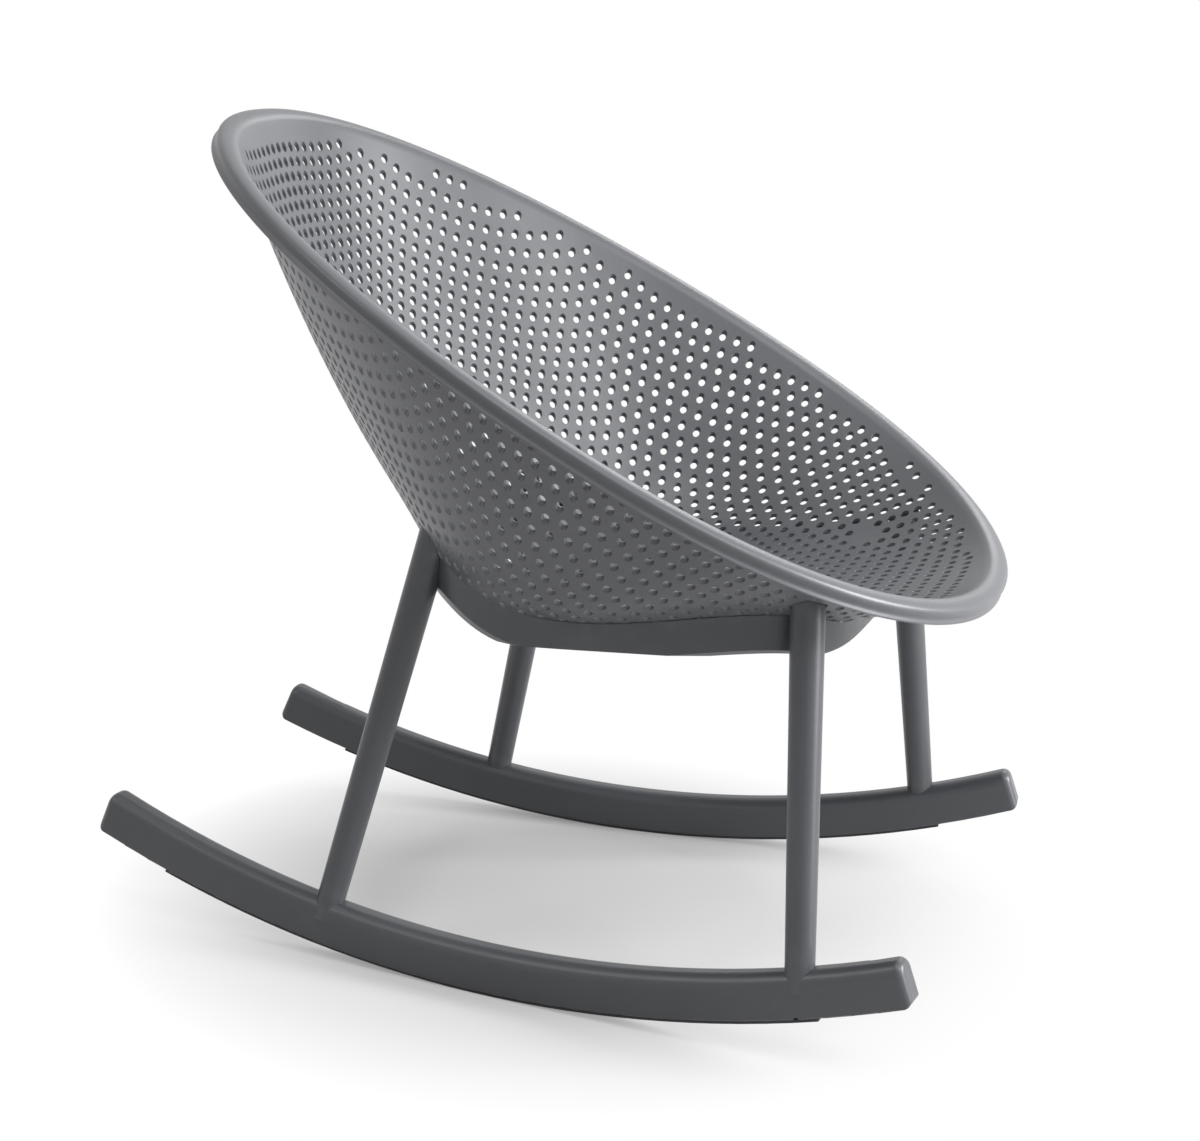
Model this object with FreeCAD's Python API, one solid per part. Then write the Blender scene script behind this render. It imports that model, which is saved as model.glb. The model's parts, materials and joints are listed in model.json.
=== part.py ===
import FreeCAD, Part
import math
import os
from FreeCAD import Vector

# A rocking armchair: one perforated moulded bucket on a band-shaped seat frame, four splayed
# legs, and two curved runners with rubber treads. Sizes are in millimetres and degrees.
# The sitter faces -Y, +X is the sitter's left and +Z is up. Everything is drawn with the lowest
# point of the runners' arc at the origin, then rolled back until the chair balances.

# Rim of the bucket, an egg-shaped outline in a plane that rises to the rear
RIM_HEIGHT = 570.0
RIM_TILT = 31.4
RIM_HALF_WIDTH = 340.5
RIM_WIDEST = -22.0
RIM_FRONT = 385.5
RIM_BACK = 476.0
RIM_FRONT_POWERS = (2.39, 2.06)
RIM_BACK_POWERS = (1.92, 2.20)

# Rolled lip along the rim
LIP_HALF_WIDTH = 12.8
LIP_RISE = 7.4
LIP_DROP = 9.0
LIP_FOOT = 1.4
LIP_FOOT_CORNERS = (0.9, 0.6)
LIP_CHEEK = 0.4
LIP_WAIST = 0.45
LIP_OVER_ANGLES = (165, 140, 115, 90, 65, 40, 15)
LIP_UNDER_ANGLES = (15, 50, 90, 130, 160)

# Bucket wall
WALL = 4.2
PAN_HEIGHT = 336.0
PAN_LOW_POINT = 91.0
PAN_SHARE = 0.08
PAN_REACH_BACK = 0.261
PAN_REACH_SIDE = 0.740
PAN_REACH_FRONT = 1.145
PAN_REACH_REAR_CORNER = -0.144
PAN_REACH_FRONT_CORNER = -0.187
BEND_BACK = 0.153
BEND_SIDE = 0.145
BEND_FRONT = 0.212
BULGE_BACK = -0.990
BULGE_SIDE = -0.025
BULGE_FRONT = 0.028

# Runners and treads
ARC_RADIUS = 1174.6
RUNNER_WIDTH = 30.6
RUNNER_HEIGHT = 42.4
RUNNER_TOP_ROUND = 12.0
RUNNER_FOOT_ROUND = 1.6
RUNNER_TIP_ROUND = 8.0
RUNNER_REAR_END = 25.7
RUNNER_FRONT_END = 16.7
RUNNER_INSET = 92.5
RUNNER_OUT = RIM_HALF_WIDTH - RUNNER_INSET
RUNNER_TOE_IN = 5.2
TREAD_THICK = 3.0
TREAD_WIDTH = 26.0
TREAD_REAR_END = 21.5
TREAD_FRONT_END = 12.3

# Seat frame band
BAND_SHARE = 0.63
BAND_HALF_WIDTH = RIM_HALF_WIDTH * BAND_SHARE
BAND_MIDDLE_Y = -26.0
BAND_FRONT = 217.0
BAND_BACK = 216.0
BAND_FRONT_POWER = 6.0
BAND_BACK_POWER = 3.3
BAND_THICK = 8.0
BAND_HEIGHT = 32.0
BAND_LOWEST = 333.0
SEAT_GAP = 1.4
LEG_GAP = 0.2

# Legs, as places on the drawing: foot Y on the runner and the axis point at the top
FRONT_FOOT_Y = -228.0
REAR_FOOT_Y = 248.0
FRONT_TOP_INSET = 8.9
FRONT_TOP_AHEAD = 196.0
FRONT_TOP_HEIGHT = 391.0
REAR_TOP_INSET = 41.5
REAR_TOP_BEHIND = 176.0
REAR_TOP_HEIGHT = 411.0
FRONT_TOP = (BAND_HALF_WIDTH - FRONT_TOP_INSET, BAND_MIDDLE_Y - FRONT_TOP_AHEAD, FRONT_TOP_HEIGHT)
REAR_TOP = (BAND_HALF_WIDTH - REAR_TOP_INSET, BAND_MIDDLE_Y + REAR_TOP_BEHIND, REAR_TOP_HEIGHT)
LEG_FOOT_RADIUS = 13.7
LEG_TOP_RADIUS = 15.9
LEG_BORE_WALL = 3.6
LEG_TOP_SPARE = 40.0
LEG_SOLID_TOP = 22.0
COLLAR_RISE = 4.0
SPIGOT_RADIUS = 8.6
SPIGOT_LENGTH = 34.0
SOCKET_CLEARANCE = 0.25
BULKHEAD = 22.0

# Fixings
FRONT_BOSS_INSET = 31.5
FRONT_BOSS_AHEAD = 161.0
REAR_BOSS_INSET = 28.5
REAR_BOSS_BEHIND = 78.0
SHELL_FIXINGS = ((BAND_HALF_WIDTH - FRONT_BOSS_INSET, BAND_MIDDLE_Y - FRONT_BOSS_AHEAD),
                 (BAND_HALF_WIDTH - REAR_BOSS_INSET, BAND_MIDDLE_Y + REAR_BOSS_BEHIND))
BOSS_RADIUS = 10.0
BOSS_DROP = 11.0
LUG_THICK = 6.0
LUG_RADIUS = 15.0
SCREW_RADIUS = 3.0
SCREW_HEAD_RADIUS = 5.5
SCREW_HEAD_HEIGHT = 3.6
SCREW_RECESS_RADIUS = 2.1
SCREW_RECESS_DEPTH = 2.0
SCREW_HOLE_CLEARANCE = 0.4
WASHER_RADIUS = 7.0
WASHER_THICK = 1.2
INSERT_RADIUS = 4.5
INSERT_LENGTH = 8.0
LEG_SCREW_ROOM = 1.0
LEG_SCREW_LAND = 3.2
INSERT_HOLE_SPARE = 0.5
THREAD_GAP = 0.05
RUNNER_SCREW_SINK = 9.0
RUNNER_SCREW_BITE = 14.0

# Densities in grams per cubic centimetre, for the balance of the chair on its runners
PLASTIC_DENSITY = 1.10
RUBBER_DENSITY = 1.20
STEEL_DENSITY = 7.85
BRASS_DENSITY = 8.50

# Fineness of the bucket's control net, and steps of the sums
NET_ANGLES = 60
NET_SHARES = 22
NET_TOP_SHARE = 0.975
SLOPE_STEP = 0.004
BISECTIONS = 50
LINE_ROUNDS = 4

# How far a cutter reaches past what it cuts, and how near counts as touching
OVERCUT = 1.0
TOUCH = 0.01


def blend(back, side, front, angle):
    """Mix three values around the bucket, by the angle of the rim point."""
    rear_weight = math.sin(angle) ** 2 if math.sin(angle) > 0 else 0.0
    front_weight = math.sin(angle) ** 2 - rear_weight
    return back * rear_weight + side * math.cos(angle) ** 2 + front * front_weight


def outline_scale(cosine, sine, power_across, power_along):
    """Find how far out the superellipse lies in a direction, by bisection."""
    near, far = 0.5, 2.0
    for _ in range(BISECTIONS):
        middle = (near + far) / 2
        if (middle * abs(cosine)) ** power_across + (middle * abs(sine)) ** power_along > 1:
            far = middle
        else:
            near = middle
    return near


def rim_point(angle, inset=0.0):
    """Point of the rim's centre line, moved inwards by the inset."""
    cosine, sine = math.cos(angle), math.sin(angle)
    reach, powers = (RIM_BACK, RIM_BACK_POWERS) if sine > 0 else (RIM_FRONT, RIM_FRONT_POWERS)
    scale = outline_scale(cosine, sine, powers[1], powers[0])
    along = RIM_WIDEST + (reach - inset) * scale * sine
    tilt = math.radians(RIM_TILT)
    return Vector((RIM_HALF_WIDTH - inset) * scale * cosine, along * math.cos(tilt),
                  RIM_HEIGHT + along * math.sin(tilt))


def wall_rise(angle, share):
    """Share of the rim's height that the wall has reached: a flat pan, a bend and a steep wall."""
    corner = 4 * (math.sin(angle) * math.cos(angle)) ** 2
    corner *= PAN_REACH_REAR_CORNER if math.sin(angle) > 0 else PAN_REACH_FRONT_CORNER
    reach = blend(PAN_REACH_BACK, PAN_REACH_SIDE, PAN_REACH_FRONT, angle) + corner
    bend = blend(BEND_BACK, BEND_SIDE, BEND_FRONT, angle)
    bulge = blend(BULGE_BACK, BULGE_SIDE, BULGE_FRONT, angle)
    slope = 1 - reach / math.hypot(reach, bend)

    def curve(s):
        rise = (s - reach) + math.hypot(s - reach, bend)
        start = math.hypot(reach, bend) - reach
        return rise - start - slope * s * (1 - s) ** 2

    return curve(share) / curve(1.0) + bulge * share ** 2 * (1 - share)


def bowl_point(angle, share):
    """Point of the bucket's outer wall between the pan's low point (0) and the rim (1)."""
    edge = rim_point(angle, LIP_HALF_WIDTH - WALL)
    return Vector(edge.x * share, PAN_LOW_POINT + (edge.y - PAN_LOW_POINT) * share,
                  PAN_HEIGHT + (edge.z - PAN_HEIGHT) * wall_rise(angle, share))


def bowl_normal(angle, share):
    """Unit normal of the outer wall, pointing into the bucket."""
    around = bowl_point(angle + SLOPE_STEP, share) - bowl_point(angle - SLOPE_STEP, share)
    upward = bowl_point(angle, share + SLOPE_STEP) - bowl_point(angle, share - SLOPE_STEP)
    return upward.cross(around).normalize()


def net_shares():
    """Stations from the pan's disc to just below the rim."""
    return [PAN_SHARE + (NET_TOP_SHARE - PAN_SHARE) * i / (NET_SHARES - 1) for i in range(NET_SHARES)]


def net_angles():
    """Equal steps around the bucket."""
    return [2 * math.pi * i / NET_ANGLES for i in range(NET_ANGLES)]


def wall_column(angle, offset):
    """Points up one meridian of the wall, offset into the bucket; the first lies on the pan's disc."""
    column = []
    for share in net_shares():
        point = bowl_point(angle, share)
        if share > PAN_SHARE:
            point += bowl_normal(angle, share) * offset
        else:
            point.z = PAN_HEIGHT + offset
        column.append(point)
    return column


def arc_places(width, rise, angles):
    """Places on a flattened arc, across and above its middle."""
    return [(width * math.cos(math.radians(t)), rise * math.sin(math.radians(t))) for t in angles]


def lip_column(angle):
    """Points over the rolled lip, from the inside of the wall to its outside."""
    centre = rim_point(angle)
    along = (rim_point(angle + SLOPE_STEP) - rim_point(angle - SLOPE_STEP)).normalize()
    tilt = math.radians(RIM_TILT)
    up = Vector(0, -math.sin(tilt), math.cos(tilt))
    out = along.cross(up).normalize()
    inside, foot = LIP_HALF_WIDTH - WALL, -LIP_DROP - LIP_FOOT
    section = arc_places(LIP_HALF_WIDTH, LIP_RISE, LIP_OVER_ANGLES)
    section += [(LIP_HALF_WIDTH, -LIP_WAIST * LIP_DROP), (LIP_HALF_WIDTH - LIP_CHEEK, -LIP_DROP)]
    section += [(LIP_HALF_WIDTH - LIP_FOOT_CORNERS[0], foot), (inside + LIP_FOOT_CORNERS[1], foot)]
    section += [(inside, -LIP_DROP), (inside, -LIP_WAIST * LIP_DROP)]
    section += arc_places(inside, LIP_RISE - WALL, LIP_UNDER_ANGLES)
    return [centre + out * across + up * high for across, high in section]


def net_surface(columns):
    """Smooth surface, closed around the bucket, that follows a net of control points."""
    around, along = len(columns), len(columns[0])
    surface = Part.BSplineSurface()
    surface.buildFromPolesMultsKnots(columns, [1] * (around + 1), [4] + [1] * (along - 4) + [4],
                                     list(range(around + 1)), list(range(along - 2)),
                                     True, False, 3, 3)
    return surface


def closed_body(columns):
    """Solid between a net surface and the flat faces that close its two open ends."""
    surface = net_surface(columns)
    first, last = surface.bounds()[2], surface.bounds()[3]
    ends = [Part.Face(Part.Wire(surface.vIso(v).toShape())) for v in (first, last)]
    shell = Part.makeShell([surface.toShape()] + ends)
    shell.sewShape()
    solid = Part.makeSolid(shell)
    if solid.Volume < 0:
        solid.reverse()
    return solid


def bowl_body(drop, offset=0.0):
    """The bucket's outside as a filled body up to the rim, lowered by the drop."""
    columns = [wall_column(angle, offset) + [rim_point(angle, LIP_HALF_WIDTH - WALL + offset)]
               for angle in net_angles()]
    body = closed_body(columns)
    body.translate(Vector(0, 0, -drop))
    return body


def bowl_height(x, y):
    """Height of the bucket's outside above a place on the plan."""
    target = math.atan2(y - PAN_LOW_POINT, x)
    low, high = -math.pi / 2, math.pi / 2
    for _ in range(BISECTIONS):
        middle = (low + high) / 2
        edge = bowl_point(middle, 1.0)
        if math.atan2(edge.y - PAN_LOW_POINT, edge.x) > target:
            high = middle
        else:
            low = middle
    edge = bowl_point(low, 1.0)
    share = math.hypot(x, y - PAN_LOW_POINT) / math.hypot(edge.x, edge.y - PAN_LOW_POINT)
    return bowl_point(low, share).z


def cylinder(radius, start, end):
    """Round bar between two points."""
    return Part.makeCylinder(radius, (end - start).Length, start, end - start)


def boss_foot(place):
    """Underside of a moulded boss on its vertical axis."""
    return Vector(place[0], place[1], bowl_height(*place) - BOSS_DROP)


def mirrored(shape):
    """The shape on the other side of the chair."""
    return shape.mirror(Vector(0, 0, 0), Vector(1, 0, 0))


def both_sides(shapes):
    """The given left-hand shapes together with their right-hand mirror images."""
    return shapes + [mirrored(shape) for shape in shapes]


def seat_shell():
    """The bucket: pan, wall and rolled lip in one skin, with four bosses under the pan."""
    columns = []
    for angle in net_angles():
        outside = wall_column(angle, 0.0)
        columns.append(wall_column(angle, WALL) + lip_column(angle) + outside[::-1])
    shell = closed_body(columns)
    inside = bowl_body(0.0, WALL * 0.5)
    bosses = []
    for place in SHELL_FIXINGS:
        foot = boss_foot(place)
        post = cylinder(BOSS_RADIUS, foot, foot + Vector(0, 0, 3 * BOSS_DROP))
        bosses.append(post.cut(inside))
    body = shell.fuse(both_sides(bosses))
    depth = Vector(0, 0, INSERT_LENGTH + INSERT_HOLE_SPARE)
    holes = [cylinder(INSERT_RADIUS, boss_foot(p), boss_foot(p) + depth) for p in SHELL_FIXINGS]
    return body.cut(both_sides(holes))


def band_normal(x, y):
    """Outward unit normal of the seat frame's plan outline near a place."""
    reach, power = (BAND_BACK, BAND_BACK_POWER) if y > BAND_MIDDLE_Y else (BAND_FRONT, BAND_FRONT_POWER)
    across = math.copysign((abs(x) / BAND_HALF_WIDTH) ** (power - 1), x) / BAND_HALF_WIDTH
    offset = y - BAND_MIDDLE_Y
    along = math.copysign((abs(offset) / reach) ** (power - 1), offset) / reach
    return Vector(across, along, 0).normalize()


def band_outline(inset):
    """Rounded four-sided plan outline of the seat frame, moved inwards by the inset."""
    poles = []
    for angle in net_angles():
        cosine, sine = math.cos(angle), math.sin(angle)
        reach, power = (BAND_BACK, BAND_BACK_POWER) if sine > 0 else (BAND_FRONT, BAND_FRONT_POWER)
        scale = outline_scale(cosine, sine, power, power)
        place = Vector(BAND_HALF_WIDTH * scale * cosine, BAND_MIDDLE_Y + reach * scale * sine, 0)
        poles.append(place - band_normal(place.x, place.y) * inset)
    curve = Part.BSplineCurve()
    curve.buildFromPolesMultsKnots(poles, [1] * (len(poles) + 1), list(range(len(poles) + 1)), True, 3)
    return Part.Face(Part.Wire(curve.toShape()))


def band_prism(inset, low, high):
    """Upright block with the seat frame's outline between two heights."""
    face = band_outline(inset)
    face.translate(Vector(0, 0, low))
    return face.extrude(Vector(0, 0, high - low))


def band_wall():
    """Upright ring under the bucket, with its upper and lower edges following the bucket."""
    low, high = BAND_LOWEST, RIM_HEIGHT
    ring = band_prism(0.0, low, high).cut(band_prism(BAND_THICK, low - OVERCUT, high + OVERCUT))
    ring = ring.common(bowl_body(SEAT_GAP + BAND_HEIGHT))
    return ring.cut(bowl_body(SEAT_GAP))


def corner_lug(place):
    """Flat lug inside the band that carries one boss of the bucket."""
    top = boss_foot(place)
    down = Vector(0, 0, -LUG_THICK)
    pad = cylinder(LUG_RADIUS, top, top + down)
    outward = Vector(place[0], 0, 0).normalize() * (BAND_HALF_WIDTH - place[0])
    web = Part.makeBox(outward.Length, 2 * LUG_RADIUS, LUG_THICK,
                       top + down + Vector(0, -LUG_RADIUS, 0))
    lug = pad.fuse(web).common(band_prism(BAND_THICK / 2, BAND_LOWEST - BAND_HEIGHT, RIM_HEIGHT))
    return lug.cut(bowl_body(SEAT_GAP))


def leg_axis(front):
    """Foot on the runner's top, top point and unit direction of a left-hand leg."""
    foot_y, top = (FRONT_FOOT_Y, FRONT_TOP) if front else (REAR_FOOT_Y, REAR_TOP)
    inner = ARC_RADIUS - TREAD_THICK - RUNNER_HEIGHT
    foot = Vector(runner_out(foot_y), foot_y, ARC_RADIUS - math.sqrt(inner ** 2 - foot_y ** 2))
    top = Vector(*top)
    return foot, top, (top - foot).normalize()


def runner_out(y):
    """Distance of the runner's centre plane from the middle of the chair."""
    return RUNNER_OUT - math.tan(math.radians(RUNNER_TOE_IN)) * y


def leg_seam(front):
    """Middle of the joint between a leg and the collar on its runner."""
    foot, _, up = leg_axis(front)
    return foot + up * COLLAR_RISE


def leg_screw_line(front):
    """Point on the band's outer face and outward direction of the screw that holds a leg."""
    _, top, up = leg_axis(front)
    face, outward = top, band_normal(top.x, top.y)
    for _ in range(LINE_ROUNDS):
        head = face - outward * BAND_THICK
        height = bowl_height(head.x, head.y) - SEAT_GAP - WASHER_RADIUS - LEG_SCREW_ROOM
        centre = top - up * ((top.z - height) / up.z)
        outward = band_normal(face.x, face.y)
        face = band_face(centre, outward)
    return face, outward


def band_face(centre, outward):
    """Where a level line leaves the seat frame's outer face."""
    outline = band_outline(0.0)
    outline.translate(Vector(0, 0, centre.z))
    reach = outward * BAND_HALF_WIDTH / 2
    crossing = Part.makeLine(centre - reach, centre + reach).common(outline)
    return max((v.Point for v in crossing.Vertexes), key=lambda p: p.dot(outward))


def leg(front):
    """Tapered leg: socket and bulkhead at the foot, hollow shaft, top scarfed against the band."""
    foot, top, up = leg_axis(front)
    seam = leg_seam(front)
    length = (top - seam).Length + LEG_TOP_SPARE
    slope = (LEG_TOP_RADIUS - LEG_FOOT_RADIUS) / (top - seam).Length
    body = Part.makeCone(LEG_FOOT_RADIUS, LEG_FOOT_RADIUS + slope * length, length, seam, up)
    socket_end = seam + up * (SPIGOT_LENGTH + OVERCUT)
    socket = cylinder(SPIGOT_RADIUS + SOCKET_CLEARANCE, seam - up * OVERCUT, socket_end)
    pilot = cylinder(SCREW_RADIUS + THREAD_GAP, seam, socket_end + up * (RUNNER_SCREW_BITE + OVERCUT))
    hollow_start = seam + up * (SPIGOT_LENGTH + BULKHEAD)
    hollow_end = top - up * (BAND_HEIGHT + LEG_SOLID_TOP)
    near = LEG_FOOT_RADIUS + slope * (hollow_start - seam).Length - LEG_BORE_WALL
    far = LEG_FOOT_RADIUS + slope * (hollow_end - seam).Length - LEG_BORE_WALL
    hollow = Part.makeCone(near, far, (hollow_end - hollow_start).Length, hollow_start, up)
    body = body.cut([socket, pilot, hollow])
    notch = band_prism(-LEG_GAP, BAND_LOWEST - BAND_HEIGHT, RIM_HEIGHT)
    notch = notch.common(bowl_body(SEAT_GAP + BAND_HEIGHT + LEG_GAP))
    body = body.cut(notch).cut(bowl_body(SEAT_GAP))
    face, outward = leg_screw_line(front)
    depth = LEG_GAP + INSERT_LENGTH + INSERT_HOLE_SPARE
    body = body.cut(cylinder(INSERT_RADIUS, face - outward * OVERCUT, face + outward * depth))
    return max(body.Solids, key=lambda solid: solid.Volume)


def seat_frame():
    """Band, four lugs and the holes for the screws of the bucket and of the legs."""
    frame = band_wall().fuse(both_sides([corner_lug(place) for place in SHELL_FIXINGS]))
    clear = SCREW_RADIUS + SCREW_HOLE_CLEARANCE
    holes = []
    for place in SHELL_FIXINGS:
        top = boss_foot(place)
        holes.append(cylinder(clear, top + Vector(0, 0, OVERCUT), top - Vector(0, 0, LUG_THICK + OVERCUT)))
    for front in (True, False):
        face, outward = leg_screw_line(front)
        holes.append(cylinder(clear, face + outward * OVERCUT, face - outward * BAND_THICK))
        holes.append(cylinder(WASHER_RADIUS + SCREW_HOLE_CLEARANCE, face - outward * LEG_SCREW_LAND,
                              face - outward * 2 * BAND_THICK))
    return frame.cut(both_sides(holes))


def arc_section(width, outer, inner):
    """Rectangle across a swept bar at its lowest point, seen from the arc's centre."""
    half = width / 2
    return Part.Face(Part.makePolygon([Vector(-half, 0, -outer), Vector(half, 0, -outer),
                                       Vector(half, 0, -inner), Vector(-half, 0, -inner),
                                       Vector(-half, 0, -outer)]))


def arc_sweep(section, rear_end, front_end):
    """Turn a section about the arc's centre between its two end angles."""
    start = section.copy()
    start.rotate(Vector(0, 0, 0), Vector(1, 0, 0), -front_end)
    solid = start.revolve(Vector(0, 0, 0), Vector(1, 0, 0), rear_end + front_end)
    solid.translate(Vector(0, 0, ARC_RADIUS))
    return solid


def along_runner(shape):
    """Move a centred runner shape to the left side and toe it in."""
    moved = shape.copy()
    moved.rotate(Vector(0, 0, 0), Vector(0, 0, 1), RUNNER_TOE_IN)
    moved.translate(Vector(RUNNER_OUT, 0, 0))
    return moved


def long_edges(solid, radius):
    """Edges of a swept bar that run along its arc at a given distance from the arc's centre."""
    found = []
    for edge in solid.Edges:
        if hasattr(edge.Curve, "Radius") and abs(edge.Curve.Radius - radius) < TOUCH:
            found.append(edge)
    return found


def end_edges(solid, angle):
    """Edges of a swept bar that lie in one of its end faces."""
    turn = math.radians(angle)
    normal = Vector(0, math.cos(turn), math.sin(turn))
    centre = Vector(0, 0, ARC_RADIUS)
    return [edge for edge in solid.Edges
            if all(abs((v.Point - centre).dot(normal)) < TOUCH for v in edge.Vertexes)]


def bare_runner():
    """Curved bar before its collars: rounded top, softened foot and rounded tips."""
    outer = ARC_RADIUS - TREAD_THICK
    section = arc_section(RUNNER_WIDTH, outer, outer - RUNNER_HEIGHT)
    bar = arc_sweep(section, RUNNER_REAR_END, RUNNER_FRONT_END)
    bar = bar.makeFillet(RUNNER_TOP_ROUND, long_edges(bar, outer - RUNNER_HEIGHT))
    for angle in (RUNNER_REAR_END, -RUNNER_FRONT_END):
        bar = bar.makeFillet(RUNNER_TIP_ROUND, end_edges(bar, angle))
    return bar.makeFillet(RUNNER_FOOT_ROUND, long_edges(bar, outer))


def runner():
    """Runner with two collars, each with a spigot that enters a leg, and counterbored holes."""
    body = along_runner(bare_runner())
    cuts = []
    for front in (True, False):
        foot, _, up = leg_axis(front)
        seam = leg_seam(front)
        root = foot - up * (RUNNER_HEIGHT / 2)
        body = body.fuse([cylinder(LEG_FOOT_RADIUS, root, seam),
                          cylinder(SPIGOT_RADIUS, root, seam + up * SPIGOT_LENGTH)])
        seat = screw_seat(front)
        cuts.append(cylinder(SCREW_RADIUS + SCREW_HOLE_CLEARANCE, seat - up * OVERCUT,
                             seam + up * (SPIGOT_LENGTH + OVERCUT)))
        cuts.append(cylinder(WASHER_RADIUS + SCREW_HOLE_CLEARANCE, seat - up * RUNNER_HEIGHT, seat))
    return body.cut(cuts)


def screw_seat(front):
    """Bottom of the counterbore under a leg, on the leg's axis."""
    foot, _, up = leg_axis(front)
    return foot - up * (RUNNER_HEIGHT / up.z - RUNNER_SCREW_SINK)


def tread():
    """Rubber strip under the runner."""
    section = arc_section(TREAD_WIDTH, ARC_RADIUS, ARC_RADIUS - TREAD_THICK)
    return along_runner(arc_sweep(section, TREAD_REAR_END, TREAD_FRONT_END))


def washer(seat, direction):
    """Washer whose face lies on the seat, on the side that the direction points away from."""
    disc = cylinder(WASHER_RADIUS, seat, seat - direction * WASHER_THICK)
    return disc.cut(cylinder(SCREW_RADIUS + SCREW_HOLE_CLEARANCE, seat + direction * OVERCUT,
                             seat - direction * (WASHER_THICK + OVERCUT)))


def screw(seat, direction, length):
    """Pan-head screw under a washer, pointing along the direction."""
    head_top = seat - direction * WASHER_THICK
    shank = cylinder(SCREW_RADIUS, head_top - direction * OVERCUT, seat + direction * length)
    head = cylinder(SCREW_HEAD_RADIUS, head_top - direction * SCREW_HEAD_HEIGHT, head_top)
    recess = cylinder(SCREW_RECESS_RADIUS, head_top - direction * (SCREW_HEAD_HEIGHT + OVERCUT),
                      head_top - direction * (SCREW_HEAD_HEIGHT - SCREW_RECESS_DEPTH))
    return shank.fuse(head).cut(recess).removeSplitter()


def insert(mouth, direction):
    """Threaded brass insert in its hole, as a plain sleeve."""
    end = mouth + direction * INSERT_LENGTH
    return cylinder(INSERT_RADIUS, mouth, end).cut(
        cylinder(SCREW_RADIUS + THREAD_GAP, mouth - direction * OVERCUT, end + direction * OVERCUT))


def shell_joints():
    """Seat of the screw, its land, mouth of the insert and direction, at the left-hand bosses."""
    up = Vector(0, 0, 1)
    return [(boss_foot(place) - up * LUG_THICK, LUG_THICK, boss_foot(place), up) for place in SHELL_FIXINGS]


def leg_joints():
    """The same for the screws that run through the band into the left-hand legs."""
    joints = []
    for front in (True, False):
        face, outward = leg_screw_line(front)
        seat, mouth = face - outward * LEG_SCREW_LAND, face + outward * LEG_GAP
        joints.append((seat, LEG_SCREW_LAND, mouth, outward))
    return joints


def joint_screws(joints):
    """Screws from their seats through the land and into the inserts."""
    return both_sides([screw(seat, direction, land + INSERT_LENGTH) for seat, land, _, direction in joints])


def joint_washers(joints):
    """Washers under the screws' heads."""
    return both_sides([washer(seat, direction) for seat, _, _, direction in joints])


def joint_inserts(joints):
    """Inserts in their holes."""
    return both_sides([insert(mouth, direction) for _, _, mouth, direction in joints])


def runner_screws():
    """Long screws from the counterbores up through the spigots into the legs."""
    screws = []
    for front in (True, False):
        _, _, up = leg_axis(front)
        seat = screw_seat(front)
        bite = (leg_seam(front) - seat).Length + SPIGOT_LENGTH + RUNNER_SCREW_BITE
        screws.append(screw(seat, up, bite))
    return both_sides(screws)


def runner_screw_washers():
    """Washers in the counterbores."""
    return both_sides([washer(screw_seat(front), leg_axis(front)[2]) for front in (True, False)])


def build():
    """All nodes of the chair, as drawn."""
    front_leg, rear_leg, one_runner, one_tread = leg(True), leg(False), runner(), tread()
    return {
        "seat_shell": [seat_shell()],
        "seat_frame": [seat_frame()],
        "front_left_leg": [front_leg],
        "front_right_leg": [mirrored(front_leg)],
        "rear_left_leg": [rear_leg],
        "rear_right_leg": [mirrored(rear_leg)],
        "left_runner": [one_runner],
        "right_runner": [mirrored(one_runner)],
        "left_runner_tread": [one_tread],
        "right_runner_tread": [mirrored(one_tread)],
        "shell_screws": joint_screws(shell_joints()),
        "shell_screw_washers": joint_washers(shell_joints()),
        "shell_inserts": joint_inserts(shell_joints()),
        "leg_screws": joint_screws(leg_joints()),
        "leg_screw_washers": joint_washers(leg_joints()),
        "leg_inserts": joint_inserts(leg_joints()),
        "runner_screws": runner_screws(),
        "runner_screw_washers": runner_screw_washers(),
    }


def density(name):
    """Density of a node's material."""
    if "insert" in name:
        return BRASS_DENSITY
    if "screw" in name:
        return STEEL_DENSITY
    return RUBBER_DENSITY if "tread" in name else PLASTIC_DENSITY


def balance_roll(nodes):
    """Angle to roll the chair back so that its mass lies straight under the arc's centre."""
    mass, moment = 0.0, Vector(0, 0, 0)
    for name, shapes in nodes.items():
        for solid in sum([shape.Solids for shape in shapes], []):
            mass += solid.Volume * density(name)
            moment += solid.CenterOfMass * (solid.Volume * density(name))
    centre = moment * (1 / mass)
    return round(math.degrees(math.atan2(centre.y, ARC_RADIUS - centre.z)), 1)


def write(nodes):
    """Roll every node to the pose in which the chair rests and export it."""
    os.makedirs("parts", exist_ok=True)
    roll = balance_roll(nodes)
    print("rolled back by", roll, "degrees")
    for name, shapes in nodes.items():
        rested = [shape.copy() for shape in shapes]
        for shape in rested:
            shape.rotate(Vector(0, 0, ARC_RADIUS), Vector(1, 0, 0), -roll)
        whole = rested[0] if len(rested) == 1 else Part.makeCompound(rested)
        whole.exportStep("parts/" + name + ".step")
        print(name, len(whole.Solids), whole.isValid(), round(whole.Volume / 1000, 1), "cm3")


write(build())
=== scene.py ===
"""Rocking armchair of moulded plastic in a plain studio.

A perforated bucket rests on a band-shaped seat frame, which four splayed legs carry on two curved
runners. Shapes are worked out in millimetres as the chair is drawn, then rolled back to the pose
in which it rests and turned into metres.
"""

from __future__ import annotations

import json
import logging
import math
from dataclasses import dataclass
from enum import Enum
from typing import Any, Sequence

import bpy
import numpy as np
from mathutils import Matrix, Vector
from mathutils.geometry import delaunay_2d_cdt

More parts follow.
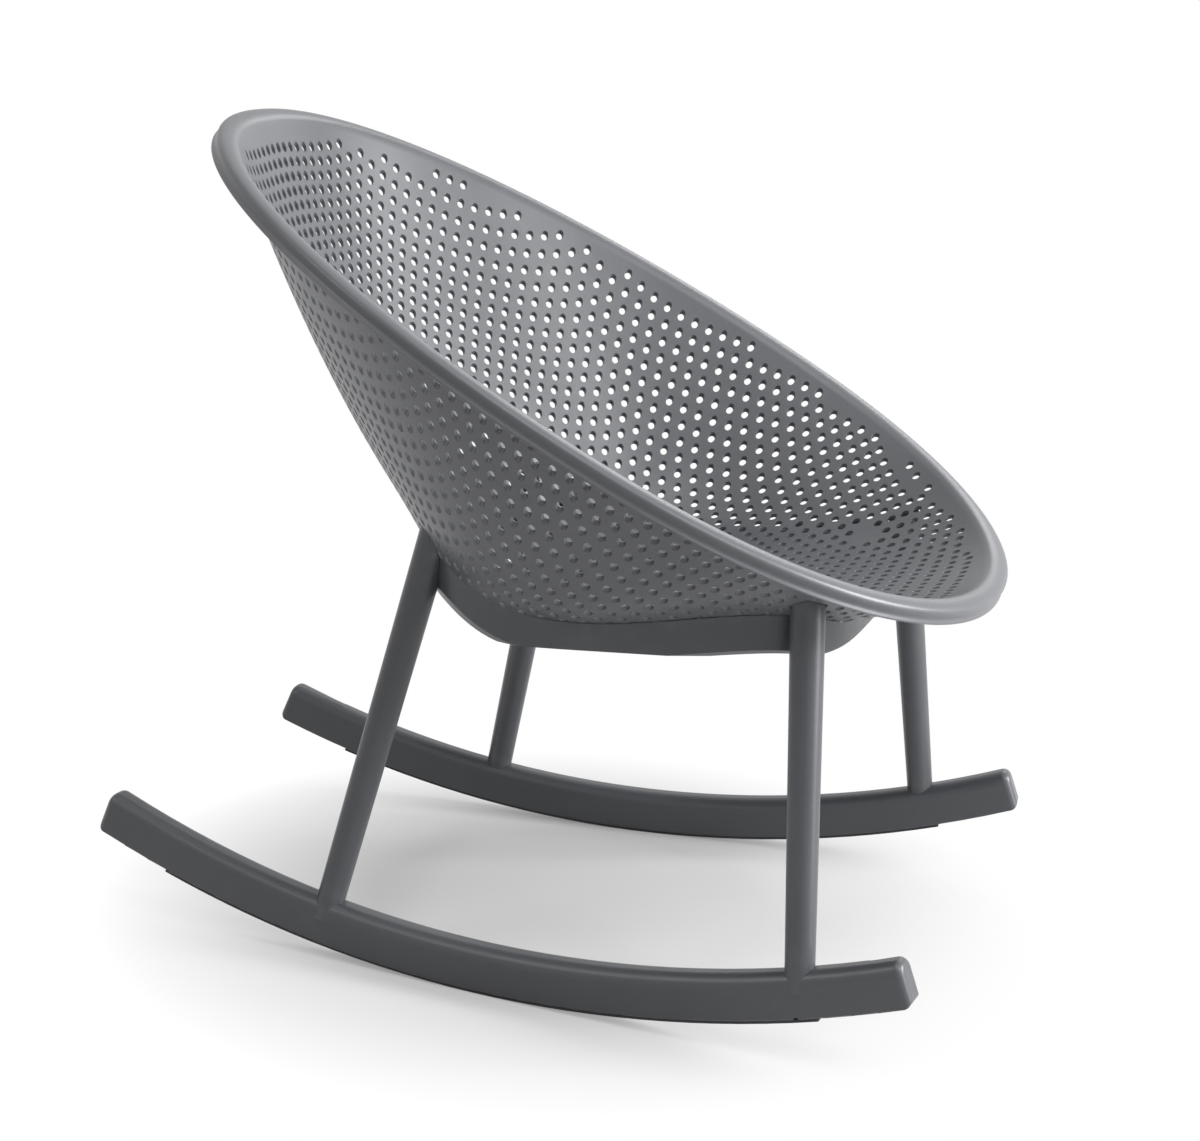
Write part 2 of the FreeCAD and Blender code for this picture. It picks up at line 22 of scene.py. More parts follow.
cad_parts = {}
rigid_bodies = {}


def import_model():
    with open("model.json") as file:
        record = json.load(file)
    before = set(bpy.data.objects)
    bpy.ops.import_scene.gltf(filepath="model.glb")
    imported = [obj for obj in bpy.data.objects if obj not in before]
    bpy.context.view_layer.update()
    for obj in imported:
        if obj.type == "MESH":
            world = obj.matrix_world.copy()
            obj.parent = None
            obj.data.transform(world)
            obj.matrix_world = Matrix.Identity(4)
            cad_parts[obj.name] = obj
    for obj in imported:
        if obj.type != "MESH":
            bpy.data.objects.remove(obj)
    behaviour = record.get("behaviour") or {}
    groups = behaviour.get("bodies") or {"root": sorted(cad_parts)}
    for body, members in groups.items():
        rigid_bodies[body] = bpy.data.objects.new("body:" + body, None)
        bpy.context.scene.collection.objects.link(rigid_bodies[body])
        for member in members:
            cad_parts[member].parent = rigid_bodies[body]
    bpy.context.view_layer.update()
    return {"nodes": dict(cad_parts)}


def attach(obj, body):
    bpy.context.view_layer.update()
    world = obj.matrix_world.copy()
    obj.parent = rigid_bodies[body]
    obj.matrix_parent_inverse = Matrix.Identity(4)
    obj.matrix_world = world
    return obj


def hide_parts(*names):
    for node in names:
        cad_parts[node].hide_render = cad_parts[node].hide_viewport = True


LOG = logging.getLogger("rocking_chair")

MILLIMETRE = 0.001
ARC_RADIUS = 1174.6
REST_ROLL = 4.2
TURN = 2 * math.pi
WHITE = (1.0, 1.0, 1.0, 1.0)

Span = tuple[float, float]
Colour = tuple[float, float, float]
Place = tuple[float, float, float]


def rested_directions(directions: np.ndarray) -> np.ndarray:
    """Roll directions back to the rest pose.

    Args:
        directions: Vectors, one per row.

    Returns:
        The rolled vectors.
    """
    roll = math.radians(-REST_ROLL)
    rolled = directions.copy()
    rolled[:, 1] = directions[:, 1] * math.cos(roll) - directions[:, 2] * math.sin(roll)
    rolled[:, 2] = directions[:, 1] * math.sin(roll) + directions[:, 2] * math.cos(roll)
    return rolled


def rested(points: np.ndarray) -> np.ndarray:
    """Roll drawn points back to the rest pose and turn them into metres.

    Args:
        points: Points in millimetres, one per row.

    Returns:
        The same points in the row frame, in metres.
    """
    arc_centre = np.array([0.0, 0.0, ARC_RADIUS])
    return (rested_directions(points - arc_centre) + arc_centre) * MILLIMETRE


def unit(vectors: np.ndarray) -> np.ndarray:
    """Scale each row to length 1."""
    return vectors / np.linalg.norm(vectors, axis=-1, keepdims=True)


def headings(count: int) -> np.ndarray:
    """Evenly spaced directions over a full turn, in radians."""
    return np.arange(count) / count * TURN


# Shader nodes


class Value:
    """An output socket that can be used in an expression."""

    def __init__(self, tree: ShaderTree, socket: bpy.types.NodeSocket | None) -> None:
        """Keep the socket and the tree that new nodes go into."""
        self.tree = tree
        self.socket = socket

    def maths(self, operation: str, *values: Any, clamp: bool = False) -> Value:
        """Feed values to a Math node.

        Args:
            operation: The node's operation.
            values: Numbers or sockets, in order.
            clamp: Whether the result is kept between 0 and 1.

        Returns:
            The node's result.
        """
        settings = {"operation": operation, "use_clamp": clamp}
        return self.tree.node("ShaderNodeMath", settings, dict(enumerate(values)))

    def __add__(self, other: Any) -> Value:
        """Sum."""
        return self.maths("ADD", self, other)

    __radd__ = __add__

    def __sub__(self, other: Any) -> Value:
        """Difference."""
        return self.maths("SUBTRACT", self, other)

    def __rsub__(self, other: Any) -> Value:
        """Difference from a number."""
        return self.maths("SUBTRACT", other, self)

    def __mul__(self, other: Any) -> Value:
        """Product."""
        return self.maths("MULTIPLY", self, other)

    __rmul__ = __mul__

    def clamped(self) -> Value:
        """The value kept between 0 and 1."""
        return self.maths("ADD", self, 0.0, clamp=True)

    def stretched(self, low: float, high: float, start: float = 0.0, end: float = 1.0) -> Value:
        """Map a range of the value to another range, clamped.

        Args:
            low: Value that becomes start.
            high: Value that becomes end.
            start: Result at low.
            end: Result at high.

        Returns:
            The mapped value.
        """
        inputs = {"Value": self, "From Min": low, "From Max": high, "To Min": start, "To Max": end}
        return self.tree.node("ShaderNodeMapRange", {"clamp": True}, inputs)


class ShaderTree:
    """A material or world whose nodes are built from code."""

    def __init__(self, owner: Any) -> None:
        """Empty the owner's node tree.

        Args:
            owner: A material or a world.
        """
        owner.use_nodes = True
        self.nodes = owner.node_tree.nodes
        self.links = owner.node_tree.links
        self.nodes.clear()

    def node(self, kind: str, settings: dict[str, Any] | None = None,
             inputs: dict[Any, Any] | None = None, output: Any = 0) -> Value:
        """Add a node.

        Args:
            kind: The node's type.
            settings: Properties, set before the sockets.
            inputs: Values or links, by socket name or number.
            output: The name or number of the socket that is handed back.

        Returns:
            The chosen output, or no socket from a node that has none.
        """
        made = self.nodes.new(kind)
        for name, value in (settings or {}).items():
            setattr(made, name, value)
        for name, value in (inputs or {}).items():
            if isinstance(value, Value):
                self.links.new(value.socket, made.inputs[name])
            else:
                made.inputs[name].default_value = value
        return Value(self, made.outputs[output] if made.outputs else None)

    def noise(self, place: Value, scale: float, detail: float = 3.0, rough: float = 0.5) -> Value:
        """Fractal noise at a place, around 0.5."""
        inputs = {"Vector": place, "Scale": scale, "Detail": detail, "Roughness": rough}
        return self.node("ShaderNodeTexNoise", {}, inputs)

    def mixed(self, factor: Any, first: Any, second: Any) -> Value:
        """Mix two colours.

        Args:
            factor: Share of the second colour.
            first: First colour.
            second: Second colour.

        Returns:
            The mixed colour.
        """
        settings = {"data_type": "RGBA", "clamp_factor": True}
        return self.node("ShaderNodeMix", settings, {0: factor, 6: first, 7: second}, 2)

    def bumped(self, height: Value, distance: float, strength: float,
               normal: Value | None = None) -> Value:
        """Turn a height into a normal.

        Args:
            height: Height between 0 and 1.
            distance: Depth of the relief in metres.
            strength: Share of the relief that shows.
            normal: A normal that the relief lies on.

        Returns:
            The new normal.
        """
        inputs: dict[Any, Any] = {"Height": height, "Distance": distance, "Strength": strength}
        if normal is not None:
            inputs["Normal"] = normal
        return self.node("ShaderNodeBump", {}, inputs)


# Finishes


class Slot(Enum):
    """Material slots of the record."""

    PLASTIC = "moulded_plastic"
    RUBBER = "tread_rubber"
    STEEL = "zinc_steel"
    BRASS = "insert_brass"


@dataclass(frozen=True)
class Finish:
    """A finish whose patterns lie in the object's own coordinates, in metres.

    A pattern has a number of waves or cells per metre, and a range of its values over which its
    effect grows from nothing to full.
    """

    name: str

    def material(self) -> bpy.types.Material:
        """Build the material.

        Returns:
            The finished material.
        """
        made = bpy.data.materials.new(self.name)
        tree = ShaderTree(made)
        surface = self.surface(tree, tree.node("ShaderNodeTexCoord", output="Object"))
        shader = tree.node("ShaderNodeBsdfPrincipled", {}, surface)
        tree.node("ShaderNodeOutputMaterial", {}, {"Surface": shader})
        return made

    def surface(self, tree: ShaderTree, place: Value) -> dict[str, Any]:
        """Build the patterns of the finish.

        Args:
            tree: Tree of the material.
            place: Place on the object.

        Returns:
            Values of the shader's sockets.
        """
        raise NotImplementedError


@dataclass(frozen=True)
class MouldedPlastic(Finish):
    """Through-coloured moulded plastic: satin, lightly grained and rubbed paler at its edges."""

    colour: Colour
    refraction: float = 1.49
    roughness: float = 0.37
    mottle: float = 0.10
    mottle_range: Span = (0.3, 0.7)
    clouds_per_metre: float = 7.0
    cloud_roughness: float = 0.14
    specks_per_metre: float = 420.0
    speck_share: float = 0.3
    speck_roughness: float = 0.10
    grain_per_metre: float = 1500.0
    grain_depth: float = 0.00012
    grain_strength: float = 0.30
    ripples_per_metre: float = 16.0
    ripple_depth: float = 0.0012
    ripple_strength: float = 0.35
    scuffs_per_metre: tuple[float, float, float] = (40.0, 55.0, 420.0)
    scuff_turn: tuple[float, float, float] = (0.5, 0.3, 0.9)
    scuff_range: Span = (0.66, 0.74)
    scuff_tint: float = 0.06
    scuff_roughness: float = 0.07
    worn: float = 0.35
    worn_edges: Span = (0.515, 0.60)
    worn_per_metre: float = 60.0
    worn_range: Span = (0.35, 0.65)
    worn_roughness: float = -0.12
    rubbed_gain: float = 1.45
    rubbed_lift: float = 0.012

    def surface(self, tree: ShaderTree, place: Value) -> dict[str, Any]:
        """Build the patterns of the plastic.

        Args:
            tree: Tree of the material.
            place: Place on the object.

        Returns:
            Values of the shader's sockets.
        """
        cloud = tree.noise(place, self.clouds_per_metre, detail=4.0)
        speck = tree.noise(place, self.specks_per_metre, detail=2.0, rough=0.6)
        grain = tree.noise(place, self.grain_per_metre, detail=2.0, rough=0.55)
        ripple = tree.noise(place, self.ripples_per_metre, detail=1.0, rough=0.4)
        laid = {"Vector": place, "Scale": self.scuffs_per_metre, "Rotation": self.scuff_turn}
        scuff = tree.noise(tree.node("ShaderNodeMapping", {}, laid), 1.0, detail=2.0, rough=0.55)
        scuff = scuff.stretched(*self.scuff_range)
        edge = tree.node("ShaderNodeNewGeometry", output="Pointiness").stretched(*self.worn_edges)
        patches = tree.noise(place, self.worn_per_metre).stretched(*self.worn_range)
        wear = (edge * patches * self.worn).clamped()
        dark = tuple(c * (1 - self.mottle) for c in self.colour)
        pale = tuple(min(1.0, c * (1 + self.mottle)) for c in self.colour)
        rubbed = tuple(min(1.0, self.rubbed_gain * c + self.rubbed_lift) for c in self.colour)
        blend = cloud * (1 - self.speck_share) + speck * self.speck_share
        base = tree.mixed(blend.stretched(*self.mottle_range), (*dark, 1.0), (*pale, 1.0))
        base = tree.mixed(wear + scuff * self.scuff_tint, base, (*rubbed, 1.0))
        rough = (cloud - 0.5) * self.cloud_roughness + (speck - 0.5) * self.speck_roughness
        rough = rough + self.roughness + wear * self.worn_roughness
        rough = (rough + scuff * self.scuff_roughness).clamped()
        relief = tree.bumped(ripple, self.ripple_depth, self.ripple_strength)
        relief = tree.bumped(grain, self.grain_depth, self.grain_strength, relief)
        return {"Base Color": base, "Roughness": rough, "Normal": relief, "IOR": self.refraction,
                "Specular IOR Level": 0.5, "Metallic": 0.0}


@dataclass(frozen=True)
class TreadRubber(Finish):
    """Matt rubber with ground-in dust and a coarse moulded texture."""

    name: str = "tread_rubber_finish"
    colour: Colour = (0.030, 0.031, 0.034)
    dust: Colour = (0.115, 0.112, 0.105)
    dust_roughness: float = 0.15
    refraction: float = 1.52
    roughness: float = 0.72
    clouds_per_metre: float = 22.0
    cloud_range: Span = (0.50, 0.75)
    cloud_dust: float = 0.35
    grain_per_metre: float = 900.0
    grain_range: Span = (0.55, 0.75)
    grain_dust: float = 0.15
    grain_roughness: float = 0.12
    grain_depth: float = 0.0001
    grain_strength: float = 0.4
    cells_per_metre: float = 420.0
    cell_range: Span = (0.0, 0.12)
    cell_depth: float = 0.00025
    cell_strength: float = 0.5

    def surface(self, tree: ShaderTree, place: Value) -> dict[str, Any]:
        """Build the patterns of the rubber.

        Args:
            tree: Tree of the material.
            place: Place on the object.

        Returns:
            Values of the shader's sockets.
        """
        cloud = tree.noise(place, self.clouds_per_metre, detail=4.0)
        grain = tree.noise(place, self.grain_per_metre, detail=3.0, rough=0.65)
        cells = tree.node("ShaderNodeTexVoronoi", {"feature": "DISTANCE_TO_EDGE"},
                          {"Vector": place, "Scale": self.cells_per_metre})
        cells = cells.stretched(*self.cell_range)
        dusty = cloud.stretched(*self.cloud_range) * self.cloud_dust
        dusty = (dusty + grain.stretched(*self.grain_range) * self.grain_dust).clamped()
        base = tree.mixed(dusty, (*self.colour, 1.0), (*self.dust, 1.0))
        rough = dusty * self.dust_roughness + (grain - 0.5) * self.grain_roughness
        rough = (rough + self.roughness).clamped()
        relief = tree.bumped(cells, self.cell_depth, self.cell_strength)
        relief = tree.bumped(grain, self.grain_depth, self.grain_strength, relief)
        return {"Base Color": base, "Roughness": rough, "Normal": relief, "IOR": self.refraction}


@dataclass(frozen=True)
class PlatedMetal(Finish):
    """Plated or turned metal with fine tool marks and slight tarnish."""

    colour: Colour
    tarnish: Colour
    roughness: float = 0.30
    marks_per_metre: tuple[float, float, float] = (300.0, 300.0, 2600.0)
    mark_roughness: float = 0.2
    mark_depth: float = 0.00005
    mark_strength: float = 0.35
    stains_per_metre: float = 180.0
    stain_range: Span = (0.48, 0.72)
    stain_share: float = 0.55
    stain_roughness: float = 0.3

    def surface(self, tree: ShaderTree, place: Value) -> dict[str, Any]:
        """Build the patterns of the metal.

        Args:
            tree: Tree of the material.
            place: Place on the object.

        Returns:
            Values of the shader's sockets.
        """
        laid = {"Vector": place, "Scale": self.marks_per_metre}
        marks = tree.noise(tree.node("ShaderNodeMapping", {}, laid), 1.0, detail=3.0, rough=0.6)
        cloud = tree.noise(place, self.stains_per_metre, detail=4.0)
        stain = cloud.stretched(*self.stain_range) * self.stain_share
        base = tree.mixed(stain, (*self.colour, 1.0), (*self.tarnish, 1.0))
        rough = stain * self.stain_roughness + (marks - 0.5) * self.mark_roughness
        rough = (rough + self.roughness).clamped()
        relief = tree.bumped(marks, self.mark_depth, self.mark_strength)
        return {"Base Color": base, "Roughness": rough, "Normal": relief, "Metallic": 1.0}


SHELL_FINISH = MouldedPlastic("moulded_plastic_shell", (0.118, 0.121, 0.131))
SLOT_FINISHES: dict[Slot, Finish] = {
    Slot.PLASTIC: MouldedPlastic("moulded_plastic_base", (0.078, 0.081, 0.089)),
    Slot.RUBBER: TreadRubber(),
    Slot.STEEL: PlatedMetal("zinc_steel_finish", (0.62, 0.63, 0.64), (0.38, 0.38, 0.37)),
    Slot.BRASS: PlatedMetal("insert_brass_finish", (0.70, 0.52, 0.24), (0.38, 0.26, 0.12)),
}


# Meshes


class MeshParts:
    """Points, normals and faces gathered for one mesh."""

    def __init__(self) -> None:
        """Start empty."""
        self.points: list[np.ndarray] = []
        self.normals: list[np.ndarray] = []
        self.faces: list[tuple[int, ...]] = []
        self.count = 0

    def add(self, points: np.ndarray, normals: np.ndarray | None = None) -> int:
        """Add points.

        Args:
            points: One point per row.
            normals: Their normals, if they are known.

        Returns:
            The number of the first point.
        """
        start = self.count
        self.points.append(points)
        if normals is not None:
            self.normals.append(normals)
        self.count += len(points)
        return start

    def made(self, name: str, finish: bpy.types.Material,
             sharp: float | None = None) -> bpy.types.Object:
        """Turn the parts into an object.

        Args:
            name: Name of the object.
            finish: Its material.
            sharp: Angle in degrees from which an edge is sharp, where normals aren't given.

        Returns:
            The object, in the scene.
        """
        mesh = bpy.data.meshes.new(name)
        mesh.from_pydata(rested(np.concatenate(self.points)).tolist(), [], self.faces)
        mesh.validate(clean_customdata=False)
        mesh.shade_smooth()
        if sharp is not None:
            mesh.set_sharp_from_angle(angle=math.radians(sharp))
        elif self.normals:
            normals = rested_directions(np.concatenate(self.normals))
            mesh.normals_split_custom_set_from_vertices(normals.tolist())
        mesh.materials.append(finish)
        made = bpy.data.objects.new(name, mesh)
        bpy.context.scene.collection.objects.link(made)
        LOG.info("%s: %d points, %d faces", name, len(mesh.vertices), len(mesh.polygons))
        return made


# Bucket


@dataclass(frozen=True)
class Rim:
    """Egg-shaped outline of the bucket's rim, in a plane that rises to the rear.

    Each half is an oval with a power along the chair and one across it, which are 2 for an
    ellipse. Its equation is solved by halving a range of sizes.
    """

    height: float = 570.0
    tilt: float = 31.4
    half_width: float = 340.5
    widest: float = -22.0
    front: float = 385.5
    back: float = 476.0
    front_powers: tuple[float, float] = (2.39, 2.06)
    back_powers: tuple[float, float] = (1.92, 2.20)
    sizes: Span = (0.5, 2.0)
    halvings: int = 44

    def points(self, angles: np.ndarray, inset: float = 0.0) -> np.ndarray:
        """Points of the rim's centre line.

        Args:
            angles: Directions around the rim in radians.
            inset: Distance by which the outline is moved inwards.

        Returns:
            One point per angle.
        """
        cosine, sine = np.cos(angles), np.sin(angles)
        rear = sine > 0
        reach = np.where(rear, self.back, self.front)
        across = np.where(rear, self.back_powers[1], self.front_powers[1])
        along = np.where(rear, self.back_powers[0], self.front_powers[0])
        near, far = (np.full_like(cosine, size) for size in self.sizes)
        for _ in range(self.halvings):
            middle = (near + far) / 2
            outside = (middle * abs(cosine)) ** across + (middle * abs(sine)) ** along > 1
            far = np.where(outside, middle, far)
            near = np.where(outside, near, middle)
        offset = self.widest + (reach - inset) * near * sine
        tilt = math.radians(self.tilt)
        return np.stack([(self.half_width - inset) * near * cosine, offset * math.cos(tilt),
                         self.height + offset * math.sin(tilt)], axis=-1)


@dataclass(frozen=True)
class Lip:
    """Rolled lip along the rim: a rounded crown, a waist under it and a small foot.

    The places of the waist and the heel down the skirt are shares of its drop.
    """

    half_width: float = 12.4
    rise: float = 6.9
    drop: float = 9.0
    foot: float = 1.4
    flare: float = 2.7
    outer_power: float = 0.94
    inner_power: float = 1.05
    crown_angles: tuple[float, ...] = (165.0, 140.0, 115.0, 90.0, 65.0, 40.0)
    shoulder_angle: float = 12.0
    shoulder_flare: float = 0.3
    waist_top: float = 0.30
    waist_bottom: float = 0.60
    waist_inside: float = 0.45
    waist_ease: float = 0.8
    heel_top: float = 0.86
    heel_inset: float = 0.6
    heel_reach: float = 0.1
    foot_inset: float = 1.0
    foot_round: float = 0.6
    under_angles: tuple[float, ...] = (15.0, 50.0, 90.0, 130.0, 160.0)

    def section(self, wall: float) -> list[tuple[float, float]]:
        """Control points from the inside of the wall over the top to its outside.

        Args:
            wall: Thickness of the skin.

        Returns:
            Distances across and above the rim's centre line.
        """
        width, drop = self.half_width, self.drop
        face, bottom = width - self.flare, -drop - self.foot
        over = [self.crown(angle, width) for angle in self.crown_angles]
        over.append(self.crown(self.shoulder_angle, width - self.shoulder_flare * self.flare))
        skirt = [(face + self.waist_ease, -self.waist_top * drop),
                 (face, -self.waist_bottom * drop),
                 (width - self.heel_inset, -self.heel_top * drop),
                 (width + self.heel_reach, -drop),
                 (width - self.foot_inset, bottom),
                 (width - wall + self.foot_round, bottom),
                 (width - wall, -drop),
                 (face - wall + self.waist_ease, -self.waist_inside * drop)]
        under = [((width - wall) * math.cos(angle), (self.rise - wall) * math.sin(angle))
                 for angle in np.radians(self.under_angles)]
        return over + skirt + under

    def crown(self, angle: float, reach: float) -> tuple[float, float]:
        """A control point of the crown, an oval with a power for each side.

        Args:
            angle: Direction from the rim's centre line in degrees.
            reach: Distance of the crown's side from the centre line.

        Returns:
            Distances across and above the centre line.
        """
        cosine, sine = math.cos(math.radians(angle)), math.sin(math.radians(angle))
        power = self.outer_power if cosine > 0 else self.inner_power
        return math.copysign(reach * abs(cosine) ** power, cosine), self.rise * sine ** power


@dataclass(frozen=True)
class Wall:
    """Skin of the bucket: a flat pan, a bend and a steep wall up to the rim.

    Values in threes are for the back, the sides and the front. The reach is where the skin bends,
    counted from the low point (0) to the rim (1), and is less towards the rear and front corners.
    The bend is how softly it turns there, and the bulge lifts or lowers the skin on its way.
    """

    rim: Rim = Rim()
    thickness: float = 4.2
    inset: float = 8.6
    pan_height: float = 336.0
    low_point: float = 91.0
    reach: tuple[float, float, float] = (0.261, 0.740, 1.145)
    corner_reach: tuple[float, float] = (-0.144, -0.187)
    bend: tuple[float, float, float] = (0.153, 0.145, 0.212)
    bulge: tuple[float, float, float] = (-0.990, -0.025, 0.028)

    @staticmethod
    def blended(values: tuple[float, float, float], angles: np.ndarray) -> np.ndarray:
        """Blend the values for the back, the sides and the front.

        Args:
            values: The three values.
            angles: Directions around the bucket in radians.

        Returns:
            One value per angle.
        """
        back, side, front = values
        square = np.sin(angles) ** 2
        rear = np.where(np.sin(angles) > 0, square, 0.0)
        return back * rear + side * np.cos(angles) ** 2 + front * (square - rear)

    def rise(self, angles: np.ndarray, shares: np.ndarray) -> np.ndarray:
        """Share of the rim's height that the wall has reached.

        Args:
            angles: Directions around the bucket in radians.
            shares: Places between the low point (0) and the rim (1).

        Returns:
            Heights between the pan (0) and the rim (1).
        """
        corner = 4 * (np.sin(angles) * np.cos(angles)) ** 2
        corner = corner * np.where(np.sin(angles) > 0, *self.corner_reach)
        reach = self.blended(self.reach, angles) + corner
        bend = self.blended(self.bend, angles)
        slope = 1 - reach / np.hypot(reach, bend)

        def curve(s: np.ndarray) -> np.ndarray:
            """Height before it is scaled to the rim."""
            start = np.hypot(reach, bend) - reach
            return s - reach + np.hypot(s - reach, bend) - start - slope * s * (1 - s) ** 2

        bulge = self.blended(self.bulge, angles) * shares ** 2 * (1 - shares)
        return curve(shares) / curve(np.ones_like(shares)) + bulge

    def at(self, angles: np.ndarray, shares: np.ndarray) -> np.ndarray:
        """Points of the outside of the skin.

        Args:
            angles: Directions around the bucket in radians.
            shares: Places between the low point (0) and the rim (1).

        Returns:
            One point per row.
        """
        edge = self.rim.points(angles, self.inset)
        along = self.low_point + (edge[:, 1] - self.low_point) * shares
        height = self.pan_height + (edge[:, 2] - self.pan_height) * self.rise(angles, shares)
        return np.stack([edge[:, 0] * shares, along, height], -1)


class WallMap:
    """Looks up the skin's height, slope and unrolled place over the plan."""

    fine_steps = 2880
    quick_steps = 720
    length_columns = 361
    length_rows = 161
    slope_step = 0.4

    def __init__(self, wall: Wall, steps: int = fine_steps) -> None:
        """Tabulate the directions of the rim seen from the low point, and lengths along the wall.

        Args:
            wall: The skin.
            steps: Number of directions in the table.
        """
        self.wall = wall
        self.angles = np.linspace(-math.pi, math.pi, steps + 1)
        edge = wall.rim.points(self.angles, wall.inset)
        edge[:, 1] -= wall.low_point
        self.headings = np.unwrap(np.arctan2(edge[:, 1], edge[:, 0]))
        self.radii = np.hypot(edge[:, 0], edge[:, 1])
        self.shares = np.linspace(0.0, 1.0, self.length_rows)
        self.coarse = np.linspace(-math.pi, math.pi, self.length_columns)
        rows = [wall.at(self.coarse, np.full_like(self.coarse, share)) for share in self.shares]
        climbs = np.linalg.norm(np.diff(np.stack(rows, 1), axis=1), axis=2)
        none = np.zeros((self.length_columns, 1))
        self.lengths = np.concatenate([none, np.cumsum(climbs, 1)], 1)

    def polar(self, plan: np.ndarray) -> tuple[np.ndarray, np.ndarray, np.ndarray]:
        """Find the angle and share that lie over places on the plan.

        Args:
            plan: Places on the plan, one per row.

        Returns:
            Angles, shares and headings.
        """
        x, y = plan[:, 0], plan[:, 1] - self.wall.low_point
        heading = np.arctan2(y, x)
        heading = np.where(heading < self.headings[0], heading + TURN, heading)
        heading = np.where(heading > self.headings[-1], heading - TURN, heading)
        angle = np.interp(heading, self.headings, self.angles)
        return angle, np.hypot(x, y) / np.interp(heading, self.headings, self.radii), heading

    def lifted(self, plan: np.ndarray) -> np.ndarray:
        """Points of the outside of the skin over places on the plan."""
        angle, share, _ = self.polar(plan)
        return np.column_stack([plan, self.wall.at(angle, share)[:, 2]])

    def normals(self, plan: np.ndarray) -> np.ndarray:
        """Unit normals into the bucket.

        Args:
            plan: Places on the plan, one per row.

        Returns:
            One normal per place.
        """
        slopes = []
        for step in np.eye(2) * self.slope_step:
            climb = self.lifted(plan + step)[:, 2] - self.lifted(plan - step)[:, 2]
            slopes.append(climb / (2 * self.slope_step))
        return unit(np.column_stack([-slopes[0], -slopes[1], np.ones(len(plan))]))

    def unrolled(self, plan: np.ndarray) -> np.ndarray:
        """Places on a flat sheet with true distances from the low point.

        Args:
            plan: Places on the plan, one per row.

        Returns:
            One place on the sheet per row.
        """
        angle, share, heading = self.polar(plan)
        column = np.interp(angle, self.coarse, np.arange(self.length_columns))
        left = np.minimum(column.astype(int), self.length_columns - 2)
        row = np.clip(share, 0, 1) * (self.length_rows - 1)
        low = np.minimum(row.astype(int), self.length_rows - 2)
        across, up = column - left, row - low
        sides = [(1 - up) * self.lengths[side, low] + up * self.lengths[side, low + 1]
                 for side in (left, left + 1)]
        lengths = (1 - across) * sides[0] + across * sides[1]
        return np.column_stack([lengths * np.cos(heading), lengths * np.sin(heading)])


